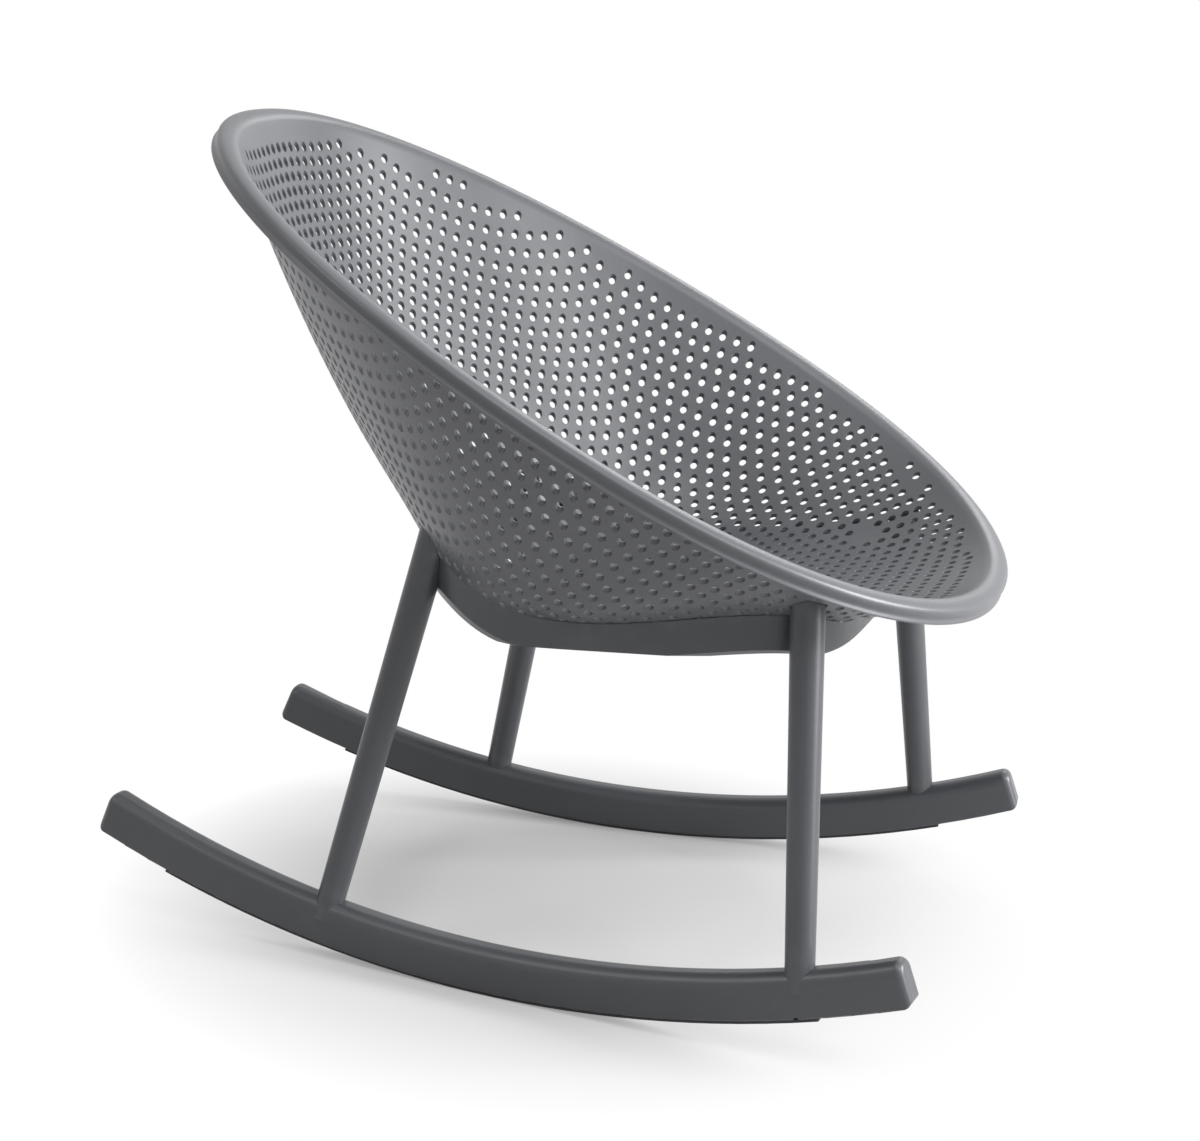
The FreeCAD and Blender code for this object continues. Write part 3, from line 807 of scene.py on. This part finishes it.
@dataclass(frozen=True)
class Perforation:
    """Staggered rows of round holes that follow the bucket.

    The rows follow each other along the course, a direction to the rear and up, and the mould
    opens square to it. Across and along hold the coefficients, in millimetres, of the terms that
    place column 30 u and row 30 v, so that rows and columns spread and bend with the bucket. The
    slant is the share by which the holes' axes turn from the wall's normal to the mould's opening.
    """

    radius: float = 3.95
    softening: float = 0.6
    sides: int = 14
    margin: float = 15.0
    boss_clearance: float = 15.0
    closest: float = 12.6
    slant: float = 0.67
    course: tuple[float, float] = (0.93, 0.345)
    last_column: int = 44
    first_row: int = -52
    last_row: int = 61
    unit_steps: float = 30.0
    across: tuple[float, ...] = (298.6, -53.9, -68.2, 37.8, -15.3, 25.2, 25.3)
    along: tuple[float, ...] = (250.9, 303.6, -42.4, 14.2, -75.5, -41.1, 37.4, 15.6)
    search: float = 430.0
    halvings: int = 40
    row_fit: float = 0.5
    last_share: float = 0.99
    height_weight: float = 1000.0

    @property
    def opening(self) -> np.ndarray:
        """Direction along which the mould opens, taken downwards."""
        return np.array([0.0, self.course[1], -self.course[0]])

    def along_course(self, points: np.ndarray) -> np.ndarray:
        """Distances of points along the course."""
        return self.course[0] * points[:, 1] + self.course[1] * points[:, 2]

    def lattice(self) -> tuple[np.ndarray, np.ndarray]:
        """Places of the staggered lattice across the bucket and along the course.

        Returns:
            Distances from the middle and along the course.
        """
        columns, rows = np.meshgrid(np.arange(-self.last_column, self.last_column + 1),
                                    np.arange(self.first_row, self.last_row + 1))
        staggered = (columns + rows) % 2 == 1
        u, v = columns[staggered] / self.unit_steps, rows[staggered] / self.unit_steps
        terms = (u, u * v, u * v ** 2, u * v ** 3, u ** 3, u ** 3 * v, u ** 3 * v ** 2)
        x = sum(c * t for c, t in zip(self.across, terms))
        terms = (np.ones_like(u), v, v ** 2, v ** 3, u ** 2, u ** 2 * v, u ** 2 * v ** 2, u ** 4)
        return x, sum(c * t for c, t in zip(self.along, terms))

    def centres(self, skin: WallMap, bosses: Sequence[tuple[float, float]]) -> np.ndarray:
        """Find the places of the holes on the plan.

        Args:
            skin: The skin that is perforated.
            bosses: Places that stay plain, with their mirror images.

        Returns:
            One place per row.
        """
        x, target = self.lattice()
        low, high = np.full_like(x, -self.search), np.full_like(x, self.search)
        for _ in range(self.halvings):
            y = (low + high) / 2
            beyond = self.along_course(skin.lifted(np.column_stack([x, y]))) > target
            high, low = np.where(beyond, y, high), np.where(beyond, low, y)
        plan = np.column_stack([x, y])
        angle, share, _ = skin.polar(plan)
        inside = share < self.last_share
        plan, points = plan[inside], skin.lifted(plan[inside])
        edge = skin.wall.at(angle[inside], np.ones(inside.sum()))
        keep = abs(self.along_course(points) - target[inside]) < self.row_fit
        keep &= np.linalg.norm(edge - points, axis=1) > self.margin
        for place in bosses:
            for side in (1.0, -1.0):
                gaps = np.hypot(plan[:, 0] - side * place[0], plan[:, 1] - place[1])
                keep &= gaps > self.boss_clearance
        return self.spaced(plan[keep], points[keep])

    def spaced(self, plan: np.ndarray, points: np.ndarray) -> np.ndarray:
        """Leave out holes too close to others, which are chosen from the low middle outwards.

        Args:
            plan: Places of the holes on the plan.
            points: The same places on the skin.

        Returns:
            The places on the plan that stay.
        """
        rank = np.round(points[:, 2], 1) * self.height_weight + abs(points[:, 0])
        chosen: list[int] = []
        for index in np.argsort(rank, kind="stable"):
            gaps = np.linalg.norm(points[chosen] - points[index], axis=1)
            if not chosen or np.min(gaps) >= self.closest:
                chosen.append(int(index))
        return plan[sorted(chosen)]


@dataclass(frozen=True)
class Bosses:
    """Round bosses under the pan, each with a bore for an insert and a fillet to the skin."""

    places: tuple[tuple[float, float], ...] = ((183.0, -187.0), (186.0, 52.0))
    sides: int = 40
    radius: float = 10.0
    drop: float = 11.0
    insert_radius: float = 4.5
    insert_depth: float = 8.5
    mouth: float = 0.5
    edge: tuple[tuple[float, float], ...] = ((0.8, 0.0), (0.2, 0.25), (0.0, 0.8))
    fillet: float = 2.6
    fillet_start: float = -2.4
    fillet_angles: tuple[float, ...] = (0.0, 30.0, 55.0, 75.0, 90.0)
    overlap: float = 2.0
    sharp: float = 35.0

    def profile(self) -> list[tuple[float, float, bool]]:
        """Rings of a boss, from the end of its bore over the foot to one buried in the skin.

        Returns:
            Radius, height, and whether the height is above the skin instead of the foot.
        """
        bore, radius = self.insert_radius, self.radius
        rings = [(bore, self.insert_depth, False), (bore, self.mouth, False),
                 (bore + self.mouth, 0.0, False)]
        rings += [(radius - inset, height, False) for inset, height in self.edge]
        rings += [(radius + self.fillet * (1 - math.cos(angle)),
                   self.fillet_start + self.fillet * math.sin(angle), True)
                  for angle in np.radians(self.fillet_angles)]
        return rings + [(radius + self.fillet, self.overlap, True)]

    def build(self, skin: WallMap, finish: bpy.types.Material) -> bpy.types.Object:
        """Build the bosses and their mirror images.

        Args:
            skin: The skin that they stand under.
            finish: Material of the moulding.

        Returns:
            The bosses, as one object.
        """
        parts, turn = MeshParts(), headings(self.sides)
        for x, y in self.places:
            foot = skin.lifted(np.array([[x, y]]))[0, 2] - self.drop
            for side in (1.0, -1.0):
                starts = []
                for radius, height, rides in self.profile():
                    ring = np.column_stack([side * x + radius * np.cos(turn),
                                            y + radius * np.sin(turn)])
                    level = skin.lifted(ring)[:, 2] if rides else np.full(self.sides, foot)
                    starts.append(parts.add(np.column_stack([ring, level + height])))
                for below, above in zip(starts, starts[1:]):
                    for a in range(self.sides):
                        b = (a + 1) % self.sides
                        parts.faces.append((below + a, below + b, above + b, above + a))
                parts.faces.append(tuple(starts[0] + a for a in reversed(range(self.sides))))
                parts.faces.append(tuple(starts[-1] + a for a in range(self.sides)))
        return parts.made("bucket_bosses", finish, self.sharp)


@dataclass(frozen=True)
class Bucket:
    """The perforated seat with its rolled lip and four bosses.

    Each side of the skin is a sheet that ends at a border below the lip. The lip is a cubic spline
    over control points, swept around the rim, that starts and ends on the two sides of the wall.
    """

    wall: Wall = Wall()
    lip: Lip = Lip()
    holes: Perforation = Perforation()
    bosses: Bosses = Bosses()
    around: int = 320
    border_drop: float = 4.6
    border_trial: float = 0.97
    lip_shares: tuple[float, float, float] = (0.889, 0.932, 0.975)
    lip_steps: int = 3
    heading_step: float = 0.004
    margin_rows: int = 24
    margin_step: float = 0.018
    margin_clearance: float = 2.0
    sheet_precision: float = 1e-6

    def lip_rows(self, angles: np.ndarray) -> np.ndarray:
        """Rows of points from the inside of the wall over the lip to its outside.

        Args:
            angles: Directions around the rim in radians.

        Returns:
            An array of rows, each with one point per angle.
        """
        rim = self.wall.rim
        centre = rim.points(angles)
        along = unit(rim.points(angles + self.heading_step) - rim.points(angles - self.heading_step))
        tilt = math.radians(rim.tilt)
        up = np.array([0.0, -math.sin(tilt), math.cos(tilt)])
        out = unit(np.cross(along, up))
        poles = [self.inner(angles, share) for share in self.lip_shares]
        poles += [centre + out * a + up * h for a, h in self.lip.section(self.wall.thickness)]
        poles += [self.wall.at(angles, np.full_like(angles, share))
                  for share in reversed(self.lip_shares)]
        rows = []
        for first, second, third, fourth in zip(poles, poles[1:], poles[2:], poles[3:]):
            for i in range(self.lip_steps):
                t = i / self.lip_steps
                rows.append(((1 - t) ** 3 * first + (3 * t ** 3 - 6 * t ** 2 + 4) * second
                             + (-3 * t ** 3 + 3 * t ** 2 + 3 * t + 1) * third
                             + t ** 3 * fourth) / 6)
        return np.array(rows[2 * self.lip_steps + 1:-2 * self.lip_steps])

    def inner(self, angles: np.ndarray, share: float) -> np.ndarray:
        """Points of the inside of the skin.

        Args:
            angles: Directions around the bucket in radians.
            share: Place between the low point (0) and the rim (1).

        Returns:
            One point per angle.
        """
        outside = self.wall.at(angles, np.full_like(angles, share))
        normals = WallMap(self.wall, WallMap.quick_steps).normals(outside[:, :2])
        return outside + normals * self.wall.thickness

    def skin_mesh(self, skin: WallMap) -> MeshParts:
        """Build the perforated skin, both sides and the holes' walls, with the lip.

        Args:
            skin: The skin.

        Returns:
            Points, faces and normals.
        """
        holes = self.holes
        centres = holes.centres(skin, self.bosses.places)
        angles = headings(self.around)
        border = self.wall.at(angles, self.border_shares(angles))[:, :2]
        parts, sides = MeshParts(), []
        for inner in (False, True):
            rings, radial = self.ring_places(skin, centres, inner)
            plan = np.concatenate([rings, border, self.margin_places(skin, rings)])
            up = skin.normals(plan)
            lift, turned = (self.wall.thickness, 1.0) if inner else (0.0, -1.0)
            points = skin.lifted(plan) + up * lift
            start = parts.add(points, up * turned)
            for a, b, c in self.triangles(skin, plan, len(rings), len(border)):
                second, third = (b, c) if inner else (c, b)
                parts.faces.append((start + a, start + second, start + third))
            sides.append((start, points[:len(rings)]))
        (low, outside), (high, inside) = sides
        along = unit(inside - outside)
        near = parts.add(outside + (along - radial) * holes.softening, -radial)
        far = parts.add(inside - (along + radial) * holes.softening, -radial)
        for start in range(0, len(outside), holes.sides):
            for a in range(holes.sides):
                i, j = start + a, start + (a + 1) % holes.sides
                for top, bottom in ((high, far), (far, near), (near, low)):
                    parts.faces.append((top + i, top + j, bottom + j, bottom + i))
        self.add_lip(parts, angles, high + len(outside), low + len(outside))
        LOG.info("bucket skin: %d holes, %d points", len(centres), parts.count)
        return parts

    def border_shares(self, angles: np.ndarray) -> np.ndarray:
        """Shares at which the sheets end, at one distance from the rim along the wall.

        Args:
            angles: Directions around the bucket in radians.

        Returns:
            One share per angle.
        """
        trial = self.border_trial
        ends = [self.wall.at(angles, np.full_like(angles, share)) for share in (1.0, trial)]
        return 1 - (1 - trial) * self.border_drop / np.linalg.norm(ends[0] - ends[1], axis=1)

    def ring_places(self, skin: WallMap, centres: np.ndarray,
                    inner: bool) -> tuple[np.ndarray, np.ndarray]:
        """Places on the plan where the holes open on one side of the skin.

        Args:
            skin: The skin.
            centres: Places of the holes on the plan.
            inner: Whether the openings are on the inside of the bucket.

        Returns:
            Ring places, and the directions from the axes to them.
        """
        holes, half = self.holes, self.wall.thickness / 2
        normal = skin.normals(centres)
        axis = unit(holes.opening * holes.slant - normal * (1 - holes.slant))
        depth = half / -np.sum(axis * normal, axis=1, keepdims=True)
        middle = skin.lifted(centres) + normal * half + axis * depth * (-1.0 if inner else 1.0)
        if inner:
            middle = middle - normal * self.wall.thickness
            normal = skin.normals(middle[:, :2])
        first = unit(np.cross(axis, np.array([1.0, 0.0, 0.0])))
        second = np.cross(first, axis)
        turn = headings(holes.sides)
        spokes = (np.cos(turn)[None, :, None] * first[:, None, :]
                  + np.sin(turn)[None, :, None] * second[:, None, :])
        slide = -np.sum(spokes * normal[:, None, :], axis=2)
        slide = slide / np.sum(axis * normal, axis=1)[:, None]
        rim = (spokes + slide[:, :, None] * axis[:, None, :]) * (holes.radius + holes.softening)
        places = middle[:, None, :] + rim
        return places[:, :, :2].reshape(-1, 2), spokes.reshape(-1, 3)

    def margin_places(self, skin: WallMap, rings: np.ndarray) -> np.ndarray:
        """Extra places in the plain margin below the rim.

        Args:
            skin: The skin.
            rings: Places around the holes.

        Returns:
            Places on the plan that keep clear of the holes.
        """
        angles = headings(self.around)
        rows, drop = [], 1 - self.border_shares(angles)
        for i in range(self.margin_rows):
            shares = 1 - drop[i % 2::2] - self.margin_step * (i + 1)
            rows.append(self.wall.at(angles[i % 2::2], shares)[:, :2])
        places = np.concatenate(rows)
        holes = skin.lifted(rings).reshape(-1, self.holes.sides, 3)
        middles = holes.mean(axis=1)
        reach = np.linalg.norm(holes - middles[:, None], axis=2).max(axis=1)
        gaps = [np.min(np.linalg.norm(middles - point, axis=1) - reach)
                for point in skin.lifted(places)]
        return places[np.array(gaps) > self.margin_clearance]

    def triangles(self, skin: WallMap, plan: np.ndarray, rings: int,
                  border: int) -> list[tuple[int, int, int]]:
        """Join the places into triangles that leave the holes open.

        Args:
            skin: The skin, for true distances.
            plan: All places: the holes' rings, the border, then the rest.
            rings: Number of places in the rings.
            border: Number of places in the border.

        Returns:
            Triangles that turn left seen from above.
        """
        flat = skin.unrolled(plan)
        sides = self.holes.sides
        edges = [(h + a, h + (a + 1) % sides) for h in range(0, rings, sides) for a in range(sides)]
        edges += [(rings + a, rings + (a + 1) % border) for a in range(border)]
        _, _, faces, sources, *_ = delaunay_2d_cdt([Vector(place) for place in flat], edges, [], 0,
                                                   self.sheet_precision, True)
        origin = [source[0] if source else -1 for source in sources]
        group = np.arange(len(plan)) // sides
        group[rings:] = -1 - np.arange(len(plan) - rings)
        group[rings:rings + border] = rings
        found = []
        for face in faces:
            a, b, c = (origin[i] for i in face)
            if min(a, b, c) < 0 or group[a] == group[b] == group[c]:
                continue
            turning = np.cross(flat[b] - flat[a], flat[c] - flat[a])
            found.append((a, b, c) if turning > 0 else (a, c, b))
        return found

    def add_lip(self, parts: MeshParts, angles: np.ndarray, inside: int, outside: int) -> None:
        """Sweep the lip between the borders of the two sides.

        Args:
            parts: The mesh so far.
            angles: Directions of the border's points.
            inside: First border point on the inside.
            outside: First border point on the outside.
        """
        rows = self.lip_rows(angles)
        sweep = np.roll(rows, -1, axis=1) - np.roll(rows, 1, axis=1)
        climb = np.gradient(rows, axis=0)
        normals = unit(np.cross(climb, sweep))
        starts = [inside] + [parts.add(row, n) for row, n in zip(rows, normals)] + [outside]
        for below, above in zip(starts, starts[1:]):
            for a in range(self.around):
                b = (a + 1) % self.around
                parts.faces.append((below + a, above + a, above + b, below + b))

    def build(self, finish: bpy.types.Material) -> None:
        """Build and dress the bucket.

        Args:
            finish: Material of the moulding.
        """
        skin = WallMap(self.wall)
        shell = self.skin_mesh(skin).made("bucket_shell", finish)
        bosses = self.bosses.build(skin, finish)
        for piece in (shell, bosses):
            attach(piece, "root")
        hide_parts("seat_shell")


# Carried-over pieces


@dataclass(frozen=True)
class Undercarriage:
    """Seat frame, legs, runners, treads and fixings, which keep the shapes of their solids."""

    plastic: tuple[str, ...] = ("seat_frame", "front_left_leg", "front_right_leg",
                                "rear_left_leg", "rear_right_leg", "left_runner", "right_runner")
    rubber: tuple[str, ...] = ("left_runner_tread", "right_runner_tread")
    steel: tuple[str, ...] = ("shell_screws", "shell_screw_washers", "leg_screws",
                              "leg_screw_washers", "runner_screws", "runner_screw_washers")
    brass: tuple[str, ...] = ("shell_inserts", "leg_inserts")

    def dress(self, nodes: dict[str, bpy.types.Object],
              materials: dict[Slot, bpy.types.Material]) -> None:
        """Give every carried-over piece its finish.

        Args:
            nodes: The frame's nodes by name.
            materials: Materials by slot.
        """
        groups = {Slot.PLASTIC: self.plastic, Slot.RUBBER: self.rubber,
                  Slot.STEEL: self.steel, Slot.BRASS: self.brass}
        for slot, names in groups.items():
            for name in names:
                piece = nodes[name]
                piece.data.materials.clear()
                piece.data.materials.append(materials[slot])
                LOG.info("%s: %s", name, slot.value)


# Studio


@dataclass(frozen=True)
class Softbox:
    """A square lamp that points at the chair."""

    name: str
    place: Place
    aim: Place
    size: float
    watts: float

    def build(self) -> None:
        """Add the lamp."""
        lamp = bpy.data.lights.new(self.name, "AREA")
        lamp.shape = "SQUARE"
        lamp.size = self.size
        lamp.energy = self.watts
        made = bpy.data.objects.new(self.name, lamp)
        made.location = self.place
        beam = Vector(self.aim) - Vector(self.place)
        made.rotation_euler = beam.to_track_quat("-Z", "Y").to_euler()
        bpy.context.scene.collection.objects.link(made)


@dataclass(frozen=True)
class Studio:
    """Pale floor, soft light and the camera.

    The camera and reflections see a floor that is painted darker near the chair, a painted shadow
    that the chair's shadow falls on, and white further out. Other rays meet a plain pale floor.
    """

    camera_place: Place = (-2.1897, -0.7352, 0.9388)
    camera_turn: tuple[float, float, float] = (75.798, -2.504, -71.217)
    lens: float = 71.35
    sensor: float = 36.0
    floor_radius: float = 30.0
    floor_sides: int = 96
    floor_shade: float = 0.80
    # Painted shadow: grey of the floor that the camera sees near the chair, darker than the lit
    # floor.
    floor_painted_shadow_shade: float = 0.62
    floor_glow: float = 0.10
    specks_per_metre: float = 900.0
    speck_contrast: float = 0.01
    # Painted shadow: distances over which the darker floor round the chair fades to white.
    painted_shadow_fade_start: float = 0.20
    painted_shadow_fade_end: float = 0.48
    ambient: float = 0.03
    lamps: tuple[Softbox, ...] = (
        Softbox("overhead_softbox", (0.0, 0.0, 2.7), (0.0, 0.0, 0.4), 1.2, 5.0),
        Softbox("key_softbox", (-0.9, -1.9, 2.2), (0.1, 0.0, 0.5), 0.8, 19.0),
        Softbox("left_softbox", (-1.0, -0.5, 2.7), (0.1, 0.0, 0.45), 1.0, 13.0),
        Softbox("front_softbox", (0.7, -2.8, 1.5), (0.0, 0.0, 0.4), 1.0, 110.0),
        Softbox("low_softbox", (0.0, -3.0, 0.6), (0.0, 0.0, 0.4), 1.0, 26.0),
        Softbox("right_softbox", (2.4, -0.4, 2.0), (0.0, 0.0, 0.4), 1.0, 12.0),
        Softbox("rear_softbox", (-1.6, 1.6, 2.2), (0.0, 0.0, 0.4), 1.0, 13.0),
    )

    def build(self) -> None:
        """Build the floor, world, lamps and camera."""
        self.floor()
        self.world()
        for lamp in self.lamps:
            lamp.build()
        self.camera()
        bpy.context.scene.view_settings.view_transform = "Standard"
        LOG.info("studio: %d lamps", len(self.lamps))

    @staticmethod
    def grey(shade: float) -> tuple[float, float, float, float]:
        """A grey as a shader colour."""
        return (shade, shade, shade, 1.0)

    def floor(self) -> None:
        """Add a round floor with painted and cast shadow near the chair that fades to white."""
        corners = [(self.floor_radius * math.cos(angle), self.floor_radius * math.sin(angle), 0.0)
                   for angle in headings(self.floor_sides)]
        mesh = bpy.data.meshes.new("studio_floor")
        mesh.from_pydata(corners, [], [tuple(range(len(corners)))])
        material = bpy.data.materials.new("studio_floor_white")
        tree = ShaderTree(material)
        seen = self.seen_rays(tree)
        place = tree.node("ShaderNodeTexCoord", output="Object")
        distance = tree.node("ShaderNodeVectorMath", {"operation": "LENGTH"}, {0: place}, "Value")
        fade = distance.stretched(self.painted_shadow_fade_start, self.painted_shadow_fade_end)
        shade = tree.mixed(tree.noise(place, self.specks_per_metre, detail=2.0),
                           self.grey(self.floor_shade - self.speck_contrast),
                           self.grey(self.floor_shade + self.speck_contrast))
        paint = tree.node("ShaderNodeBsdfDiffuse", {}, {"Color": shade})
        glow = tree.node("ShaderNodeEmission", {}, {"Color": WHITE, "Strength": self.floor_glow})
        # Painted shadow: near the chair the camera sees a darker grey than the floor the lamps
        # light.
        painted_shadow_colour = {"Color": self.grey(self.floor_painted_shadow_shade)}
        painted_shadow_paint = tree.node("ShaderNodeBsdfDiffuse", {}, painted_shadow_colour)
        painted_shadow_floor = tree.node("ShaderNodeAddShader", {}, {0: painted_shadow_paint, 1: glow})
        white = tree.node("ShaderNodeEmission", {}, {"Color": WHITE, "Strength": 1.0})
        bright = tree.node("ShaderNodeMixShader", {}, {0: fade, 1: painted_shadow_floor, 2: white})
        shown = tree.node("ShaderNodeMixShader", {}, {0: seen, 1: paint, 2: bright})
        tree.node("ShaderNodeOutputMaterial", {}, {"Surface": shown})
        mesh.materials.append(material)
        floor = bpy.data.objects.new("studio_floor", mesh)
        bpy.context.scene.collection.objects.link(floor)

    @staticmethod
    def seen_rays(tree: ShaderTree) -> Value:
        """Tell rays from the camera, a reflection or a transmission from the others.

        Args:
            tree: Tree of the material or world.

        Returns:
            1 for such rays and 0 for others.
        """
        camera = tree.node("ShaderNodeLightPath", output="Is Camera Ray")
        glossy = tree.node("ShaderNodeLightPath", output="Is Glossy Ray")
        clear = tree.node("ShaderNodeLightPath", output="Is Transmission Ray")
        return (camera + glossy + clear).clamped()

    def world(self) -> None:
        """Light the studio evenly and show white behind the floor."""
        world = bpy.data.worlds.new("studio")
        bpy.context.scene.world = world
        tree = ShaderTree(world)
        strength = self.seen_rays(tree).stretched(0.0, 1.0, self.ambient, 1.0)
        light = tree.node("ShaderNodeBackground", {}, {"Color": WHITE, "Strength": strength})
        tree.node("ShaderNodeOutputWorld", {}, {"Surface": light})

    def camera(self) -> None:
        """Add the camera at the photograph's viewing angle."""
        data = bpy.data.cameras.new("camera")
        data.lens = self.lens
        data.sensor_width = self.sensor
        data.sensor_fit = "HORIZONTAL"
        made = bpy.data.objects.new("camera", data)
        made.location = self.camera_place
        made.rotation_euler = [math.radians(angle) for angle in self.camera_turn]
        bpy.context.scene.collection.objects.link(made)
        bpy.context.scene.camera = made


def main() -> None:
    """Build the scene."""
    logging.basicConfig(level=logging.INFO, format="%(message)s")
    for old in list(bpy.data.objects):
        bpy.data.objects.remove(old)
    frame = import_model()
    Bucket().build(SHELL_FINISH.material())
    materials = {slot: finish.material() for slot, finish in SLOT_FINISHES.items()}
    Undercarriage().dress(frame["nodes"], materials)
    Studio().build()


if __name__ == "__main__":
    main()
